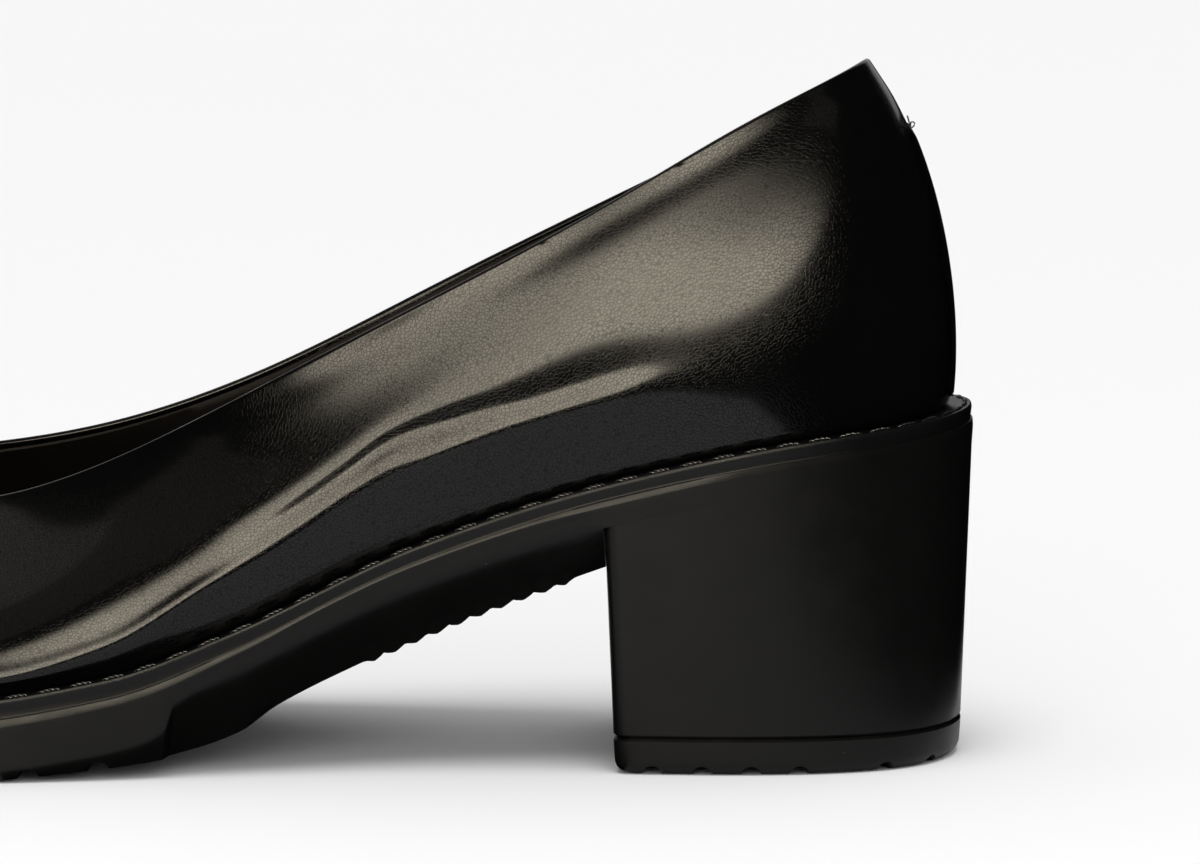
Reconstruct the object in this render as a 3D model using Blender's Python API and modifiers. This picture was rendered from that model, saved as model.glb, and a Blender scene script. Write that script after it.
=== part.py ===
"""Block heel pump for the right foot: a leather upper on a welted rubber sole with a tall heel.

The heel points along +X and the toe along -X, the inner side of the foot is -Y, and the floor is z = 0.
Sizes are in millimetres, and MM turns them into metres. "Along" is the distance from the back of the
sole towards the toe.
"""

from collections import namedtuple

import bmesh
import bpy
import numpy as np
from mathutils import Matrix, Vector

MM = 0.001

LENGTH = 242.0
CLEARANCE = 0.3

WELT_SHOW = 3.6
WELT_REACH = 9.0
WELT_THICK = 2.0
WELT_ROUND = 0.4

LEATHER = 1.8
TUCK_IN = 0.8
TUCK_RISE = 1.5
RIDGE_SPREAD = 3.4
SEAM_HALF = 1.8
SEAM_EDGE = 0.4
SEAM_RISE = 0.6
TACK_RISE = 103.0

INSOLE_THICK = 3.0
INSOLE_PLAY = 0.4

COVE_IN = 0.9
COVE_DROP = 2.9
SHOULDER_OUT = 0.2
SHOULDER_DROP = 4.0
SHOULDER_ROUND = 0.4

HEEL_JOINT = 6.8
HEEL_BREAST_TOP = 59.2
HEEL_BREAST_FOOT = 57.9
HEEL_TAPER = 1.6
HEEL_CORNER = 2.5
HEEL_HOLLOW = 0.8
TIP_THICK = 6.0
TIP_CHAMFER = 0.5
TIP_ROUND = 2.2
NOTCH_RADIUS = 1.7
NOTCH_SINK = 0.2
NOTCH_REACH = 8.0
NOTCHES_ALONG = (4.3, 12.3, 27.0, 35.1, 43.3, 51.5)

LUG_PITCH = 11.1
LUG_FIRST = 140.4
LUG_COUNT = 9
LUG_GROOVE_RADIUS = 1.7
LUG_GROOVE_SINK = 0.2

SOLE_COLUMNS = 96
UPPER_COLUMNS = 84
UPPER_RINGS = 12
HEEL_SIDE_POINTS = 18
ROUND_SIDES = 12
SHARP_ANGLE = np.radians(35.0)

Level = namedtuple("Level", "along rise")

# Top of the welt above the floor.
RIM = (
    Level(0.0, 58.0),
    Level(30.0, 54.2),
    Level(60.0, 47.5),
    Level(90.0, 37.4),
    Level(120.0, 23.5),
    Level(140.0, 16.5),
    Level(168.0, 12.9),
    Level(205.0, 14.4),
    Level(242.0, 19.6),
)

# Underside of the outsole along its middle, from the heel breast to the toe.
TREAD = (
    Level(59.0, 33.4),
    Level(80.0, 25.6),
    Level(100.0, 16.9),
    Level(113.0, 10.4),
    Level(119.0, 6.2),
    Level(128.0, 3.3),
    Level(140.0, 1.8),
    Level(152.0, 0.8),
    Level(166.0, 0.0),
    Level(192.0, 0.0),
    Level(216.0, 2.0),
    Level(242.0, 7.0),
)

Side = namedtuple("Side", "along drop inset")

# The sole's side: how far its upright wall drops below the welt, and how far the underside is set in.
SOLE_SIDE = (
    Side(0.0, 7.0, 8.0),
    Side(100.0, 7.0, 8.0),
    Side(124.0, 7.2, 6.5),
    Side(130.0, 11.0, 5.0),
    Side(134.0, 12.6, 3.5),
    Side(142.0, 13.0, 1.8),
    Side(160.0, 12.4, 1.2),
    Side(242.0, 11.6, 1.2),
)

Plan = namedtuple("Plan", "medial_along medial_side lateral_along lateral_side")

# Outline of the welt seen from above.
SOLE_PLAN = {
    "heel back": Plan(0.0, 0.0, 0.0, 0.0),
    "heel corner": Plan(8.6, 20.9, 8.6, 20.9),
    "heel side": Plan(29.5, 29.5, 29.5, 29.5),
    "heel breast": Plan(60.0, 29.8, 60.0, 31.0),
    "waist": Plan(93.0, 30.3, 93.0, 35.0),
    "arch": Plan(122.0, 35.2, 120.0, 39.5),
    "ball rear": Plan(148.0, 40.8, 144.0, 43.2),
    "ball": Plan(174.0, 43.2, 168.0, 43.6),
    "toe side": Plan(204.0, 38.6, 198.0, 37.0),
    "toe corner": Plan(229.0, 24.4, 226.0, 21.5),
    "toe tip": Plan(242.0, 3.0, 242.0, -3.0),
}

Top = namedtuple("Top", "along medial_side lateral_side medial_rise lateral_rise")

# The collar's edge, for the same ribs as the outline.
TOPLINE = {
    "heel back": Top(17.4, 0.0, 0.0, 114.9, 114.9),
    "heel corner": Top(22.5, 9.0, 9.0, 112.7, 111.2),
    "heel side": Top(37.5, 16.2, 16.2, 105.2, 101.8),
    "heel breast": Top(62.0, 21.5, 21.5, 91.2, 88.9),
    "waist": Top(92.0, 24.0, 24.5, 75.2, 73.5),
    "arch": Top(119.0, 22.6, 24.0, 61.0, 60.1),
    "ball rear": Top(142.0, 18.0, 20.0, 49.5, 52.2),
    "ball": Top(160.0, 14.0, 15.5, 43.4, 49.0),
    "toe side": Top(172.0, 9.2, 10.0, 43.0, 48.2),
    "toe corner": Top(178.0, 4.8, 5.0, 45.0, 47.6),
    "toe tip": Top(180.0, 0.4, -0.4, 46.8, 46.8),
}

Wall = namedtuple("Wall", "swell_out swell_up lean_out lean_down ridge_out ridge_up")

# How each rib leaves the welt and meets the collar, and the ridge that runs along its foot.
UPPER_WALL = {
    "heel back": Wall(1.6, 17.0, 11.0, 14.0, 0.0, 12.0),
    "heel corner": Wall(2.0, 17.0, 9.0, 14.0, 0.0, 12.0),
    "heel side": Wall(2.0, 19.5, 5.0, 15.0, 0.1, 12.5),
    "heel breast": Wall(2.6, 17.5, 4.8, 13.5, 0.7, 12.4),
    "waist": Wall(4.6, 19.0, 1.5, 18.5, 0.8, 12.9),
    "arch": Wall(3.2, 15.5, 3.6, 18.0, 0.8, 9.8),
    "ball rear": Wall(2.4, 9.0, 8.5, 13.0, 0.8, 3.8),
    "ball": Wall(1.5, 7.0, 11.5, 10.5, 0.5, 2.5),
    "toe side": Wall(1.4, 11.0, 17.5, 5.5, 0.0, 2.0),
    "toe corner": Wall(1.2, 18.0, 26.0, 4.0, 0.0, 2.0),
    "toe tip": Wall(1.0, 19.5, 33.0, 4.5, 0.0, 2.0),
}

Finish = namedtuple("Finish", "colour roughness metallic")

FINISHES = {
    "upper": Finish((0.012, 0.012, 0.012, 1.0), 0.38, 0.0),
    "insole": Finish((0.020, 0.017, 0.015, 1.0), 0.70, 0.0),
    "welt": Finish((0.018, 0.018, 0.019, 1.0), 0.50, 0.0),
    "outsole": Finish((0.018, 0.018, 0.018, 1.0), 0.55, 0.0),
    "heel": Finish((0.018, 0.018, 0.018, 1.0), 0.55, 0.0),
    "heel_tip": Finish((0.016, 0.016, 0.016, 1.0), 0.60, 0.0),
}


def level(table, column, along):
    """A smooth curve through one column of a table, with no overshoot between its rows."""
    place = np.array([row.along for row in table])
    value = np.array([getattr(row, column) for row in table])
    step = np.diff(place)
    rise = np.diff(value) / step
    slope = np.concatenate([rise[:1], np.zeros(len(rise) - 1), rise[-1:]])
    before, after = rise[:-1], rise[1:]
    steady = before * after > 0.0
    slope[1:-1][steady] = 2.0 * before[steady] * after[steady] / (before + after)[steady]
    along = np.clip(along, place[0], place[-1])
    i = np.clip(np.searchsorted(place, along, side="right") - 1, 0, len(step) - 1)
    t = (along - place[i]) / step[i]
    return (
        value[i] * (1.0 + 2.0 * t) * (1.0 - t) ** 2
        + slope[i] * step[i] * t * (1.0 - t) ** 2
        + value[i + 1] * t**2 * (3.0 - 2.0 * t)
        + slope[i + 1] * step[i] * t**2 * (t - 1.0)
    )


def rim(along):
    return level(RIM, "rise", along)


def round_loop(medial, lateral):
    """Joins the rows of both sides into one loop: back to toe on the inner side, then back again."""
    return np.concatenate([medial, lateral[-2:0:-1]])


def closed_spline(values, places):
    """Values and slopes of the smooth closed curve through one value for each rib."""
    step = np.diff(KNOTS)
    count = len(step)
    rise = (np.roll(values, -1, axis=0) - values) / step[:, None]
    system = np.zeros((count, count))
    for i in range(count):
        system[i, i - 1] = step[i - 1]
        system[i, i] = 2.0 * (step[i - 1] + step[i])
        system[i, (i + 1) % count] = step[i]
    bend = np.linalg.solve(system, 6.0 * (rise - np.roll(rise, 1, axis=0)))
    places = places % KNOTS[-1]
    i = np.clip(np.searchsorted(KNOTS, places, side="right") - 1, 0, count - 1)
    j = (i + 1) % count
    h = step[i][:, None]
    a = (KNOTS[i + 1] - places)[:, None]
    b = (places - KNOTS[i])[:, None]
    value = (
        (bend[i] * a**3 + bend[j] * b**3) / (6.0 * h)
        + (values[i] / h - bend[i] * h / 6.0) * a
        + (values[j] / h - bend[j] * h / 6.0) * b
    )
    slope = (bend[j] * b**2 - bend[i] * a**2) / (2.0 * h) + rise[i] - (bend[j] - bend[i]) * h / 6.0
    return value, slope


def outward(slope):
    """Unit vectors in plan, square to a loop and away from its inside."""
    out = np.stack([slope[:, 1], -slope[:, 0]], axis=1)
    return out / np.linalg.norm(out, axis=1)[:, None]


plan_rows = list(SOLE_PLAN.values())
PLAN_LOOP = round_loop(
    np.array([(row.medial_along, -row.medial_side) for row in plan_rows]),
    np.array([(row.lateral_along, row.lateral_side) for row in plan_rows]),
)
chords = np.linalg.norm(np.roll(PLAN_LOOP, -1, axis=0) - PLAN_LOOP, axis=1)
KNOTS = np.concatenate([[0.0], np.cumsum(chords)])
TOE_PLACE = KNOTS[len(plan_rows) - 1]

top_rows = [TOPLINE[name] for name in SOLE_PLAN]
TOP_LOOP = round_loop(
    np.array([(row.along, -row.medial_side, row.medial_rise) for row in top_rows]),
    np.array([(row.along, row.lateral_side, row.lateral_rise) for row in top_rows]),
)
wall_rows = np.array([UPPER_WALL[name] for name in SOLE_PLAN])
WALL_LOOP = round_loop(wall_rows, wall_rows)


def even_places(columns):
    """Places round the loop, as many on each side, so that those across from each other pair up."""
    half = columns // 2
    medial = np.linspace(0.0, TOE_PLACE, half + 1)
    lateral = np.linspace(TOE_PLACE, KNOTS[-1], half + 1)[1:-1]
    return np.concatenate([medial, lateral])


def outline(places, inset):
    """Plan points (along, side) set in from the welt's edge, and the outward vectors there."""
    points, slope = closed_spline(PLAN_LOOP, places)
    out = outward(slope)
    return points - out * np.reshape(inset, (-1, 1)), out


edge_points, _ = outline(np.linspace(0.0, KNOTS[-1], 2000), 0.0)
SIDE_SHIFT = -0.5 * (edge_points[:, 1].min() + edge_points[:, 1].max())


def world(along, side, rise):
    """Metres in the shoe's own frame, with the origin under the middle of its box."""
    return np.stack([LENGTH / 2.0 - along, side + SIDE_SHIFT, rise], axis=1) * MM


def rim_ring(places, inset, drop):
    """A ring round the shoe that follows the welt, set in from its edge and dropped below its top."""
    points, _ = outline(places, inset)
    return world(points[:, 0], points[:, 1], rim(points[:, 0]) - drop)


def new_object(name, mesh, collection):
    mesh.shade_smooth()
    mesh.set_sharp_from_angle(angle=SHARP_ANGLE)
    made = bpy.data.objects.new(name, mesh)
    collection.objects.link(made)
    return made


def loft(name, rings, collection, closed_section=False):
    """A solid through rings of equally many points. The two end rings are filled across, or joined up."""
    shape = bmesh.new()
    rows = [[shape.verts.new(point) for point in ring] for ring in rings]
    count = len(rows[0])
    pairs = list(zip(rows, rows[1:]))
    if closed_section:
        pairs.append((rows[-1], rows[0]))
    for lower, upper in pairs:
        for i in range(count):
            j = (i + 1) % count
            shape.faces.new((lower[i], lower[j], upper[j], upper[i]))
    if not closed_section:
        for row in (rows[0], rows[-1]):
            fill_across(shape, row)
    bmesh.ops.recalc_face_normals(shape, faces=shape.faces)
    mesh = bpy.data.meshes.new(name)
    shape.to_mesh(mesh)
    shape.free()
    return new_object(name, mesh, collection)


def fill_across(shape, row):
    """Fills a ring with strips that run from one side to the other."""
    count = len(row)
    half = count // 2
    shape.faces.new((row[0], row[1], row[-1]))
    for i in range(1, half - 1):
        shape.faces.new((row[i], row[i + 1], row[count - i - 1], row[count - i]))
    shape.faces.new((row[half - 1], row[half], row[half + 1]))


def bars(name, ends, radius, collection):
    """Round bars, one between each pair of points, as one cutter."""
    shape = bmesh.new()
    for start, end in ends:
        way = Vector(end) - Vector(start)
        turn = way.to_track_quat("Z", "Y").to_matrix().to_4x4()
        bmesh.ops.create_cone(
            shape,
            cap_ends=True,
            segments=ROUND_SIDES,
            radius1=radius * MM,
            radius2=radius * MM,
            depth=way.length,
            matrix=Matrix.Translation((Vector(start) + Vector(end)) / 2.0) @ turn,
        )
    mesh = bpy.data.meshes.new(name)
    shape.to_mesh(mesh)
    shape.free()
    return new_object(name, mesh, collection)


def cut(target, cutter):
    cutter.display_type = "WIRE"
    cutter.hide_render = True
    step = target.modifiers.new(cutter.name, "BOOLEAN")
    step.operation = "DIFFERENCE"
    step.solver = "EXACT"
    step.object = cutter


def finish(target):
    look = FINISHES[target.name]
    material = bpy.data.materials.new(target.name)
    material.use_nodes = True
    surface = material.node_tree.nodes["Principled BSDF"]
    surface.inputs["Base Color"].default_value = look.colour
    surface.inputs["Roughness"].default_value = look.roughness
    surface.inputs["Metallic"].default_value = look.metallic
    target.data.materials.append(material)


def build_upper(collection):
    """The leather shell: ribs from the welt to the collar, with the raised seam up the back."""
    places = even_places(UPPER_COLUMNS)
    seam_edges = np.array([SEAM_HALF, SEAM_HALF + SEAM_EDGE])
    places = np.sort(np.concatenate([places, seam_edges, KNOTS[-1] - seam_edges]))
    from_back = np.minimum(places, KNOTS[-1] - places)
    on_seam = from_back < SEAM_HALF + SEAM_EDGE / 2.0

    foot, out = outline(places, WELT_SHOW)
    top, top_slope = closed_spline(TOP_LOOP, places)
    top_out = outward(top_slope)
    wall = {name: column[:, None] for name, column in zip(Wall._fields, closed_spline(WALL_LOOP, places)[0].T)}

    foot_rise = rim(foot[:, 0]) + CLEARANCE + TUCK_RISE
    start = np.column_stack([foot, foot_rise])
    ways_out = np.column_stack([out, np.zeros(len(places))])
    top_ways_out = np.column_stack([top_out, np.zeros(len(places))])
    up = np.array([[0.0, 0.0, 1.0]])
    first = start + ways_out * wall["swell_out"] + up * wall["swell_up"]
    second = top + top_ways_out * wall["lean_out"] - up * wall["lean_down"]

    rings = []
    for t in np.linspace(0.0, 1.0, UPPER_RINGS):
        ring = (
            start * (1.0 - t) ** 3
            + first * 3.0 * t * (1.0 - t) ** 2
            + second * 3.0 * t**2 * (1.0 - t)
            + top * t**3
        )
        height = ring[:, 2:] - start[:, 2:]
        ridge = wall["ridge_out"] * np.exp(-(((height - wall["ridge_up"]) / RIDGE_SPREAD) ** 2))
        seam = SEAM_RISE * (on_seam[:, None] & (ring[:, 2:] < TACK_RISE))
        ring = ring + ways_out * (ridge + seam)
        rings.append(world(ring[:, 0], ring[:, 1], ring[:, 2]))
    rings.insert(0, rim_ring(places, WELT_SHOW + TUCK_IN, -CLEARANCE))

    shape = bmesh.new()
    rows = [[shape.verts.new(point) for point in ring] for ring in rings]
    count = len(places)
    for lower, upper in zip(rows, rows[1:]):
        for i in range(count):
            j = (i + 1) % count
            shape.faces.new((lower[i], upper[i], upper[j], lower[j]))
    mesh = bpy.data.meshes.new("upper")
    shape.to_mesh(mesh)
    shape.free()
    made = new_object("upper", mesh, collection)
    shell = made.modifiers.new("leather", "SOLIDIFY")
    shell.thickness = LEATHER * MM
    shell.offset = -1.0
    shell.use_even_offset = True
    return made


def build_insole(collection):
    places = even_places(SOLE_COLUMNS)
    inset = WELT_SHOW + TUCK_IN + LEATHER + INSOLE_PLAY
    return loft(
        "insole",
        [
            rim_ring(places, inset, -CLEARANCE),
            rim_ring(places, inset, -CLEARANCE - INSOLE_THICK),
        ],
        collection,
    )


def build_welt(collection):
    places = even_places(SOLE_COLUMNS)
    section = (
        (WELT_REACH, 0.0),
        (WELT_ROUND, 0.0),
        (0.0, WELT_ROUND),
        (0.0, WELT_THICK - WELT_ROUND),
        (WELT_ROUND, WELT_THICK),
        (WELT_REACH, WELT_THICK),
    )
    rings = [rim_ring(places, inset, drop) for inset, drop in section]
    return loft("welt", rings, collection, closed_section=True)


def build_outsole(collection, cutters):
    places = even_places(SOLE_COLUMNS)
    ledge = WELT_THICK + CLEARANCE
    section = (
        (WELT_REACH + CLEARANCE, 0.0),
        (WELT_REACH + CLEARANCE, ledge),
        (COVE_IN, ledge),
        (COVE_IN, COVE_DROP),
        (SHOULDER_ROUND - SHOULDER_OUT, SHOULDER_DROP - SHOULDER_ROUND),
        (-SHOULDER_OUT, SHOULDER_DROP),
    )
    rings = [rim_ring(places, inset, drop) for inset, drop in section]
    edge, _ = outline(places, 0.0)
    rings.append(rim_ring(places, 0.0, level(SOLE_SIDE, "drop", edge[:, 0])))
    foot, _ = outline(places, level(SOLE_SIDE, "inset", edge[:, 0]))
    rings.append(world(foot[:, 0], foot[:, 1], level(TREAD, "rise", foot[:, 0])))
    made = loft("outsole", rings, collection)

    reach = LENGTH / 4.0
    pocket = []
    for along in np.linspace(-CLEARANCE * 10.0, HEEL_BREAST_TOP + CLEARANCE, 9):
        top = float(rim(along)) - HEEL_JOINT
        corners = ((-reach, -CLEARANCE), (-reach, top), (reach, top), (reach, -CLEARANCE))
        pocket.append(world(np.full(4, along), *np.array(corners).T))
    cut(made, loft("heel_pocket", pocket, cutters))

    ends = []
    for i in range(LUG_COUNT):
        along = LUG_FIRST + i * LUG_PITCH
        rise = float(level(TREAD, "rise", along)) - LUG_GROOVE_SINK
        line = world(np.full(2, along), np.array([-reach, reach]), np.full(2, rise))
        ends.append(line)
    cut(made, bars("lug_grooves", ends, LUG_GROOVE_RADIUS, cutters))
    return made


def heel_half(side, inset, breast):
    """Plan points from the middle of the breast, round the corner and along one side to the back."""
    dense = np.linspace(0.0, TOE_PLACE / 2.0, 400)
    if side > 0.0:
        dense = KNOTS[-1] - dense
    along = outline(dense, 0.0)[0][:, 0]
    front = np.interp(breast - HEEL_CORNER, along, dense)
    back = dense[0]
    flank, _ = outline(np.linspace(front, back, HEEL_SIDE_POINTS), inset)
    corner = flank[0] - np.array([0.0, side * HEEL_CORNER])
    turn = np.radians([0.0, 30.0, 60.0])
    arc = corner + HEEL_CORNER * np.column_stack([np.cos(turn), side * np.sin(turn)])
    hollow = HEEL_HOLLOW * np.array([1.0, 0.75])
    line = np.column_stack([breast - hollow, corner[1] * np.array([0.0, 0.5])])
    return np.concatenate([line, arc, flank])


def heel_ring(inset, breast, rise):
    """A D shaped ring for the heel, at a fixed height or at one that follows the welt."""
    medial = heel_half(-1.0, inset, breast)
    lateral = heel_half(1.0, inset, breast)
    points = np.concatenate([medial, lateral[-2:0:-1]])
    heights = rim(points[:, 0]) - HEEL_JOINT - CLEARANCE if rise is None else np.full(len(points), rise)
    return world(points[:, 0], points[:, 1], heights)


def build_heel(collection):
    foot = TIP_THICK + CLEARANCE
    return loft(
        "heel",
        [
            heel_ring(0.0, HEEL_BREAST_TOP, None),
            heel_ring(HEEL_TAPER, HEEL_BREAST_FOOT, foot + TIP_CHAMFER),
            heel_ring(HEEL_TAPER + TIP_CHAMFER, HEEL_BREAST_FOOT - TIP_CHAMFER, foot),
        ],
        collection,
    )


def build_heel_tip(collection, cutters):
    section = (
        (TIP_CHAMFER, TIP_THICK),
        (0.0, TIP_THICK - TIP_CHAMFER),
        (0.2, TIP_ROUND),
        (0.4 * TIP_ROUND, 0.3 * TIP_ROUND),
        (TIP_ROUND, 0.0),
    )
    made = loft(
        "heel_tip",
        [heel_ring(HEEL_TAPER + inset, HEEL_BREAST_FOOT - inset, rise) for inset, rise in section],
        collection,
    )
    dense = np.linspace(0.0, TOE_PLACE / 2.0, 400)
    ends = []
    for places in (dense, KNOTS[-1] - dense):
        along = outline(places, 0.0)[0][:, 0]
        at = np.interp(NOTCHES_ALONG, along, places)
        outer, _ = outline(at, 0.0)
        inner, _ = outline(at, HEEL_TAPER + NOTCH_REACH)
        flat = np.full(len(at), -NOTCH_SINK)
        starts = world(outer[:, 0], outer[:, 1], flat)
        stops = world(inner[:, 0], inner[:, 1], flat)
        ends.extend(zip(starts, stops))
    cut(made, bars("tip_notches", ends, NOTCH_RADIUS, cutters))
    return made


def main():
    for old in list(bpy.data.objects):
        bpy.data.objects.remove(old, do_unlink=True)
    shoe = bpy.data.collections.new("block_heel_pump")
    cutters = bpy.data.collections.new("cutters")
    for collection in (shoe, cutters):
        bpy.context.scene.collection.children.link(collection)
    pieces = (
        build_upper(shoe),
        build_insole(shoe),
        build_welt(shoe),
        build_outsole(shoe, cutters),
        build_heel(shoe),
        build_heel_tip(shoe, cutters),
    )
    for piece in pieces:
        finish(piece)


main()
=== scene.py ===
import math

import bpy
import numpy as np
from mathutils import Matrix, Vector


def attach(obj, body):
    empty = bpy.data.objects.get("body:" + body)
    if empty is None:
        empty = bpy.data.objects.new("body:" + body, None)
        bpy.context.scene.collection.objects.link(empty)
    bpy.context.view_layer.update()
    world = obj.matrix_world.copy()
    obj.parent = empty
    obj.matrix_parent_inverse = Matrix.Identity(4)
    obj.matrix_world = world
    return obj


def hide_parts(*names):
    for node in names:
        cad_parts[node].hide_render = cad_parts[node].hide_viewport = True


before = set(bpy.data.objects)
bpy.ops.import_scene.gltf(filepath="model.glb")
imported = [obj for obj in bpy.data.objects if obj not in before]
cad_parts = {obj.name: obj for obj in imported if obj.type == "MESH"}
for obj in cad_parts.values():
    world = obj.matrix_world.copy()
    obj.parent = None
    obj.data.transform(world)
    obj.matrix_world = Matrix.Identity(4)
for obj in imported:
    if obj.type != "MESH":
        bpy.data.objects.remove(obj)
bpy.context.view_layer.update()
print("frame loaded with", sorted(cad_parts))

mm = 0.001

# the last, in mm; "along" runs from the back of the sole to the toe
last = {
    "length": 242.0,
    # along, rise of the welt's top and of the sole's underside
    "rim": [(0, 58.0), (30, 54.2), (60, 47.5), (90, 37.4), (120, 23.5), (140, 16.5),
            (168, 12.9), (205, 14.4), (242, 19.6)],
    "tread": [(59, 33.4), (80, 25.6), (100, 16.9), (113, 10.4), (119, 6.2), (128, 3.3),
              (140, 1.8), (152, 0.8), (166, 0.0), (192, 0.0), (216, 2.0), (242, 7.0)],
    # along, drop of the upright wall below the welt, how far the underside is set in
    "side": [(0, 7.0, 8.0), (100, 7.0, 8.0), (124, 7.2, 8.0), (128.4, 8.0, 6.5), (130.2, 11.8, 3.0),
             (134, 12.6, 2.4), (142, 12.6, 1.8), (160, 12.4, 1.2), (242, 11.6, 1.2)],
    # welt outline: along and side on the inner half, then on the outer half
    "plan": [(0, 0, 0, 0), (8.6, 20.9, 8.6, 20.9), (29.5, 29.5, 29.5, 29.5), (60, 29.8, 60, 31),
             (93, 30.3, 93, 35), (122, 35.2, 120, 39.5), (148, 40.8, 144, 43.2), (174, 43.2, 168, 43.6),
             (204, 38.6, 198, 37), (229, 24.4, 226, 21.5), (242, 3, 242, -3)],
    # collar: along, inner side, outer side, inner rise, outer rise
    "top": [(17.4, 0, 0, 114.9, 114.9), (22.5, 9, 9, 112.7, 111.2), (37.5, 16.2, 16.2, 105.2, 101.8),
            (62, 21.5, 21.5, 91.2, 88.9), (92, 24, 24.5, 75.2, 73.5), (119, 22.6, 24, 61, 60.1),
            (142, 18, 20, 49.5, 52.2), (160, 14, 15.5, 43.4, 49), (172, 9.2, 10, 43, 48.2),
            (178, 4.8, 5, 45, 47.6), (180, 0.4, -0.4, 46.8, 46.8)],
    # wall: swell out and up at the welt, lean out and down at the collar
    "wall": [(1.6, 17, 11, 14), (2, 17, 9, 14), (2, 19.5, 5, 15), (2.6, 17.5, 4.8, 13.5),
             (4.6, 19, 1.5, 18.5), (3.2, 15.5, 3.6, 18), (2.4, 9, 8.5, 13), (1.5, 7, 11.5, 10.5),
             (1.4, 11, 17.5, 5.5), (1.2, 18, 26, 4), (1, 19.5, 33, 4.5)],
}


def smoothCurve(rows, column, along):  # a curve through a table's rows that never overshoots them
    place, value = np.array(rows, float)[:, [0, column]].T
    step = np.diff(place)
    rise = np.diff(value) / step
    slope = np.concatenate([rise[:1], np.zeros(len(rise) - 1), rise[-1:]])
    before, after = rise[:-1], rise[1:]
    steady = before * after > 0
    slope[1:-1][steady] = 2 * before[steady] * after[steady] / (before + after)[steady]
    along = np.clip(along, place[0], place[-1])
    i = np.clip(np.searchsorted(place, along, side="right") - 1, 0, len(step) - 1)
    t = (along - place[i]) / step[i]
    return (value[i] * (1 + 2 * t) * (1 - t) ** 2 + slope[i] * step[i] * t * (1 - t) ** 2
            + value[i + 1] * t**2 * (3 - 2 * t) + slope[i + 1] * step[i] * t**2 * (t - 1))


def rim(along):
    return smoothCurve(last["rim"], 1, along)


def roundLoop(inner, outer):
    return np.concatenate([inner, outer[-2:0:-1]])


def closedSpline(values, places):  # values and slopes of a smooth loop through one row for each rib
    step = np.diff(knots)
    count = len(step)
    rise = (np.roll(values, -1, axis=0) - values) / step[:, None]
    system = np.zeros((count, count))
    for i in range(count):
        system[i, i - 1] = step[i - 1]
        system[i, i] = 2 * (step[i - 1] + step[i])
        system[i, (i + 1) % count] = step[i]
    bend = np.linalg.solve(system, 6 * (rise - np.roll(rise, 1, axis=0)))
    places = places % knots[-1]
    i = np.clip(np.searchsorted(knots, places, side="right") - 1, 0, count - 1)
    j = (i + 1) % count
    h = step[i][:, None]
    a = (knots[i + 1] - places)[:, None]
    b = (places - knots[i])[:, None]
    value = ((bend[i] * a**3 + bend[j] * b**3) / (6 * h) + (values[i] / h - bend[i] * h / 6) * a
             + (values[j] / h - bend[j] * h / 6) * b)
    slope = (bend[j] * b**2 - bend[i] * a**2) / (2 * h) + rise[i] - (bend[j] - bend[i]) * h / 6
    return value, slope


def outward(slope):
    out = np.stack([slope[:, 1], -slope[:, 0]], axis=1)
    return out / np.linalg.norm(out, axis=1)[:, None]


planRows = np.array(last["plan"], float)
planLoop = roundLoop(planRows[:, :2] * (1, -1), planRows[:, 2:])
chords = np.linalg.norm(np.roll(planLoop, -1, axis=0) - planLoop, axis=1)
knots = np.concatenate([[0], np.cumsum(chords)])
toePlace = knots[len(planRows) - 1]
topRows = np.array(last["top"], float)
topLoop = roundLoop(topRows[:, [0, 1, 3]] * (1, -1, 1), topRows[:, [0, 2, 4]])
wallRows = np.array(last["wall"], float)
wallLoop = roundLoop(wallRows, wallRows)


def bothSides(shares):  # places on the loop for shares of the way from heel back to toe, on either side
    return np.concatenate([shares * toePlace, knots[-1] - shares[-2:0:-1] * (knots[-1] - toePlace)])


def shareAt(along):  # share of the inner side's length at a distance along
    shares = np.linspace(0, 1, 2000)
    return np.interp(along, closedSpline(planLoop, shares * toePlace)[0][:, 0], shares)


def outline(places, inset):
    points, slope = closedSpline(planLoop, places)
    out = outward(slope)
    return points - out * np.reshape(inset, (-1, 1)), out


edgeSides = outline(np.linspace(0, knots[-1], 2000), 0)[0][:, 1]
sideShift = -0.5 * (edgeSides.min() + edgeSides.max())


def rimRing(places, inset, drop):
    points, _ = outline(places, inset)
    return np.column_stack([points, rim(points[:, 0]) - drop])


def capRings(ring, steps):  # rings that close a loop onto its own middle line
    partner = np.concatenate([ring[:1], ring[:0:-1]])
    middle = (ring + partner) / 2
    return [ring + (middle - ring) * share for share in np.linspace(0, 1, steps + 1)[1:]]


def inMetres(points):
    along, side, rise = np.moveaxis(np.asarray(points, float), -1, 0)
    return np.stack([last["length"] / 2 - along, side + sideShift, rise], axis=-1) * mm


def pick(*pieces):
    bpy.ops.object.select_all(action="DESELECT")
    for piece in pieces:
        piece.select_set(True)
    bpy.context.view_layer.objects.active = pieces[-1]


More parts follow.
